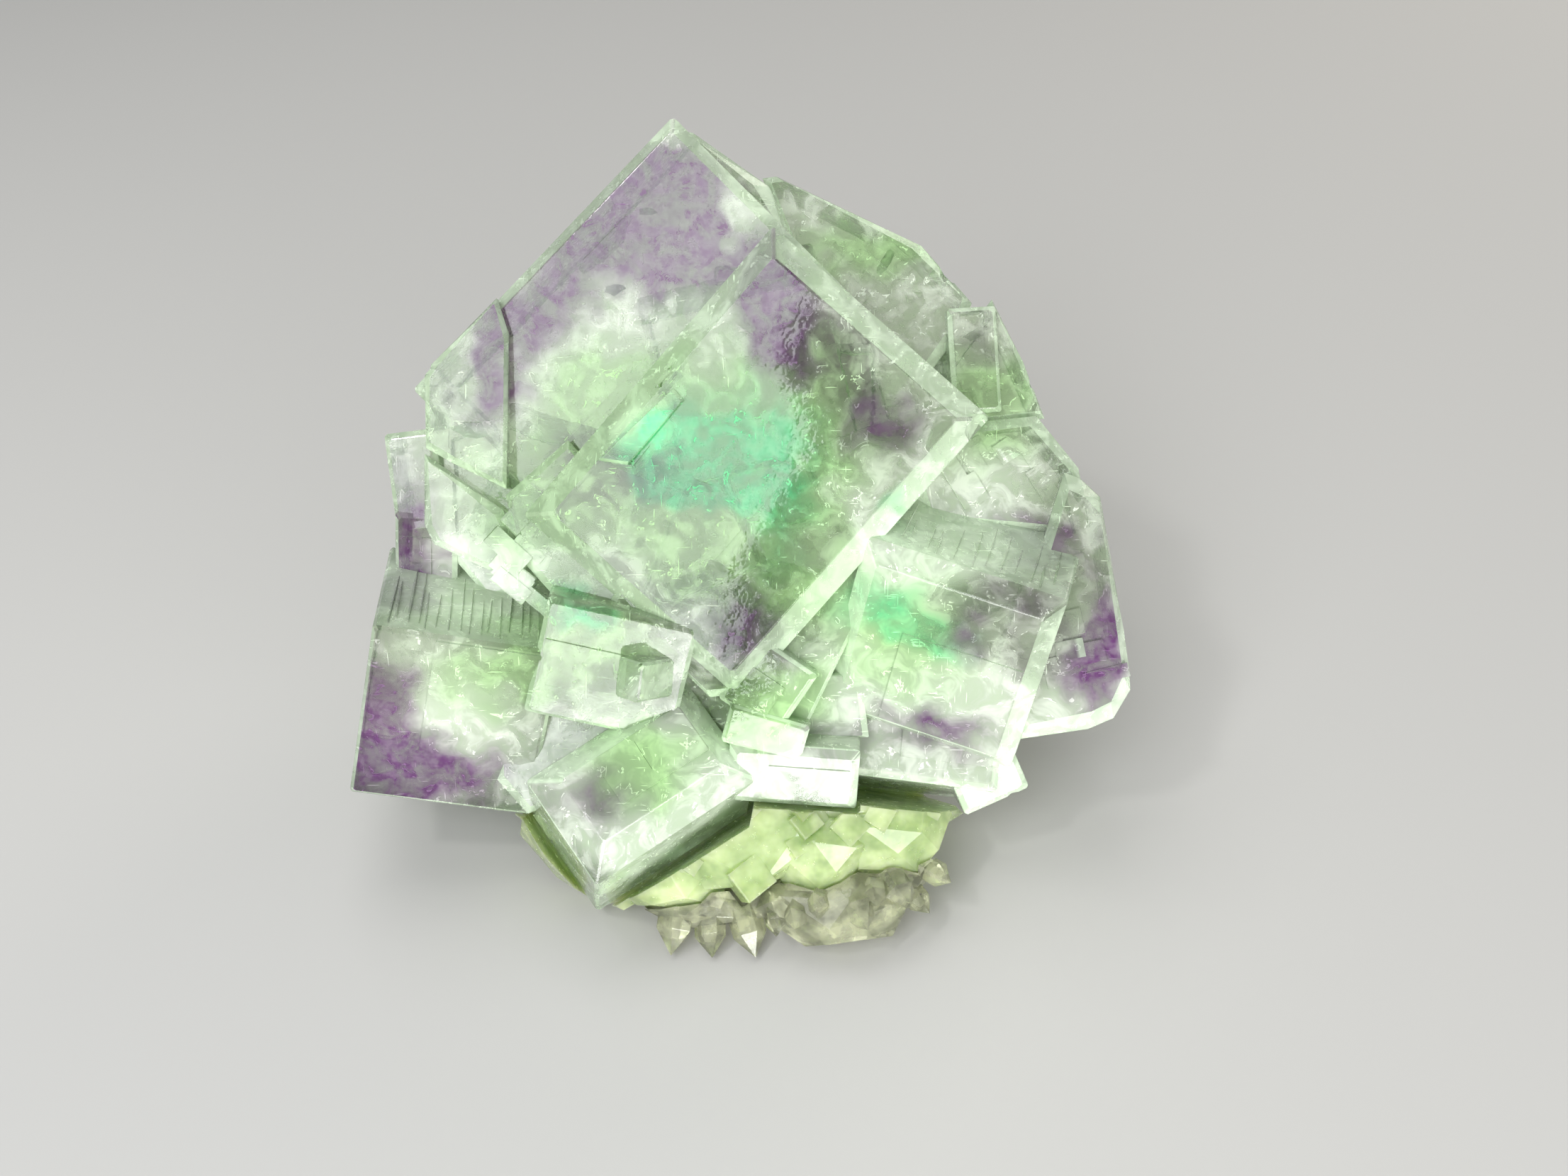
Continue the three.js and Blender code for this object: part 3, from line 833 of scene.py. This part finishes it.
class SPECIMEN_OT_crystals(bpy.types.Operator):
    """Finishes the clear cubes: worn edges, cleavage cracks and colour zones."""

    bl_idname = "specimen.crystals"
    bl_label = "Crystals"

    def execute(self, context):
        settings = context.scene.specimen_crystals
        piece = merged_copy("fluorite_crystals", "zoned_fluorite_cubes")
        wear_edges(piece, settings.edge, CLEAN_EDGE)
        cutter = crack_cutter(settings.crack_gap)
        cut = piece.modifiers.new("cracks", "BOOLEAN")
        cut.operation = "DIFFERENCE"
        cut.solver = "EXACT"
        cut.object = cutter
        set_modifiers(piece)
        bpy.data.objects.remove(cutter)
        piece.data.materials.clear()
        piece.data.materials.append(zoned_fluorite(settings))
        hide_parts("fluorite_crystals")
        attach(piece, "root")
        return {"FINISHED"}


class SPECIMEN_OT_base(bpy.types.Operator):
    """Finishes the yellow-green base that the cubes grew on."""

    bl_idname = "specimen.base"
    bl_label = "Base"

    def execute(self, context):
        settings = context.scene.specimen_base
        piece = merged_copy("fluorite_base", "milky_fluorite_base")
        wear_edges(piece, settings.edge, BROKEN_EDGE)
        piece.data.materials.clear()
        piece.data.materials.append(milky_fluorite(settings))
        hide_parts("fluorite_base")
        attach(piece, "root")
        return {"FINISHED"}


class SPECIMEN_OT_quartz(bpy.types.Operator):
    """Finishes the quartz points at the foot."""

    bl_idname = "specimen.quartz"
    bl_label = "Quartz Points"

    def execute(self, context):
        settings = context.scene.specimen_quartz
        piece = merged_copy("quartz_points", "quartz_druse")
        wear_edges(piece, settings.edge, BROKEN_EDGE)
        piece.data.materials.clear()
        piece.data.materials.append(druse_quartz(settings))
        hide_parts("quartz_points")
        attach(piece, "root")
        return {"FINISHED"}


# The soft lights: place in metres, width and height in metres, power in watts, and colour.
LIGHTS = {
    "key_above": ((-0.10, 0.10, 0.42), (0.34, 0.26), 0.8, "#ffffff"),
    "front_left": ((-0.16, -0.34, 0.30), (0.26, 0.26), 1.5, "#f8faff"),
    "front_low": ((0.10, -0.34, 0.055), (0.44, 0.12), 2.0, "#ffffff"),
    "glint": ((-0.24, -0.20, 0.44), (0.05, 0.05), 0.45, "#ffffff"),
    "back_right": ((0.30, 0.34, 0.22), (0.20, 0.20), 0.6, "#fff8ee"),
}
# The light of the room itself.
ROOM_COLOUR = "#c9ccd0"
ROOM_STRENGTH = 0.5
# Half the width of the paper on the table, in metres.
PAPER_REACH = 1.5
# Width of the camera's sensor in millimetres.
SENSOR = 36.0


def area_light(name, place, size, power, colour):
    """A soft light that points at the middle of the show side."""
    lamp = bpy.data.lights.new(name, "AREA")
    lamp.shape = "RECTANGLE"
    lamp.size, lamp.size_y = size
    lamp.energy = power
    lamp.color = linear(colour)[:3]
    made = bpy.data.objects.new(name, lamp)
    made.location = place
    made.rotation_euler = (SHOW_MIDDLE - place).to_track_quat("-Z", "Y").to_euler()
    bpy.context.scene.collection.objects.link(made)


class SPECIMEN_OT_stage(bpy.types.Operator):
    """Lays the paper floor, hangs the soft lights and sets the camera."""

    bl_idname = "specimen.stage"
    bl_label = "Stage"

    def execute(self, context):
        scene = context.scene
        settings = scene.specimen_stage

        made = bmesh.new()
        bmesh.ops.create_grid(made, x_segments=4, y_segments=4, size=PAPER_REACH)
        mesh = bpy.data.meshes.new("paper_floor")
        made.to_mesh(mesh)
        made.free()
        floor = bpy.data.objects.new("paper_floor", mesh)
        scene.collection.objects.link(floor)
        material, tree, output = new_material("paper_matt")
        paper = add_node(
            tree, "ShaderNodeBsdfPrincipled", {"Base Color": tuple(settings.floor), "Roughness": 0.75}
        )
        tree.links.new(paper.outputs[0], output.inputs["Surface"])
        mesh.materials.append(material)

        for name, (place, size, power, colour) in LIGHTS.items():
            area_light(name, Vector(place), size, power, colour)

        world = bpy.data.worlds.new("soft_room")
        scene.world = world
        world.use_nodes = True
        room = world.node_tree.nodes["Background"]
        room.inputs["Color"].default_value = linear(ROOM_COLOUR)
        room.inputs["Strength"].default_value = ROOM_STRENGTH

        lens = bpy.data.cameras.new("camera")
        lens.lens = settings.lens
        lens.sensor_width = SENSOR
        lens.clip_start = 0.01
        camera = bpy.data.objects.new("camera", lens)
        away = Vector((0.0, -math.cos(settings.lift), math.sin(settings.lift)))
        camera.location = SHOW_MIDDLE + away * settings.distance
        camera.rotation_euler = (math.radians(90) - settings.lift, 0.0, 0.0)
        scene.collection.objects.link(camera)
        scene.camera = camera

        # Few lights and short light paths keep the clear crystals quick to render.
        scene.cycles.use_light_tree = False
        scene.cycles.max_bounces = settings.bounces + 1
        scene.cycles.transmission_bounces = settings.bounces
        scene.cycles.glossy_bounces = 4
        scene.cycles.diffuse_bounces = 2
        scene.cycles.caustics_refractive = True
        scene.cycles.caustics_reflective = False
        scene.cycles.use_denoising = True
        scene.view_settings.view_transform = "Standard"
        return {"FINISHED"}


class SPECIMEN_PT_panel(bpy.types.Panel):
    """Lists the steps that build the specimen."""

    bl_label = "Fluorite Specimen"
    bl_idname = "SPECIMEN_PT_panel"
    bl_space_type = "VIEW_3D"
    bl_region_type = "UI"
    bl_category = "Specimen"

    def draw(self, context):
        for step in STEPS:
            self.layout.operator(step.bl_idname)


SETTINGS = {
    "specimen_crystals": CrystalSettings,
    "specimen_base": BaseSettings,
    "specimen_quartz": QuartzSettings,
    "specimen_stage": StageSettings,
}
STEPS = (SPECIMEN_OT_crystals, SPECIMEN_OT_base, SPECIMEN_OT_quartz, SPECIMEN_OT_stage)


def register():
    """Registers the settings, the steps and the panel."""
    for name, group in SETTINGS.items():
        bpy.utils.register_class(group)
        setattr(bpy.types.Scene, name, PointerProperty(type=group))
    for step in STEPS:
        bpy.utils.register_class(step)
    bpy.utils.register_class(SPECIMEN_PT_panel)


def unregister():
    """Takes back what register added."""
    bpy.utils.unregister_class(SPECIMEN_PT_panel)
    for step in reversed(STEPS):
        bpy.utils.unregister_class(step)
    for name, group in SETTINGS.items():
        delattr(bpy.types.Scene, name)
        bpy.utils.unregister_class(group)


def main():
    """Builds every piece."""
    register()
    bpy.ops.specimen.crystals()
    bpy.ops.specimen.base()
    bpy.ops.specimen.quartz()
    bpy.ops.specimen.stage()


if __name__ == "__main__":
    main()
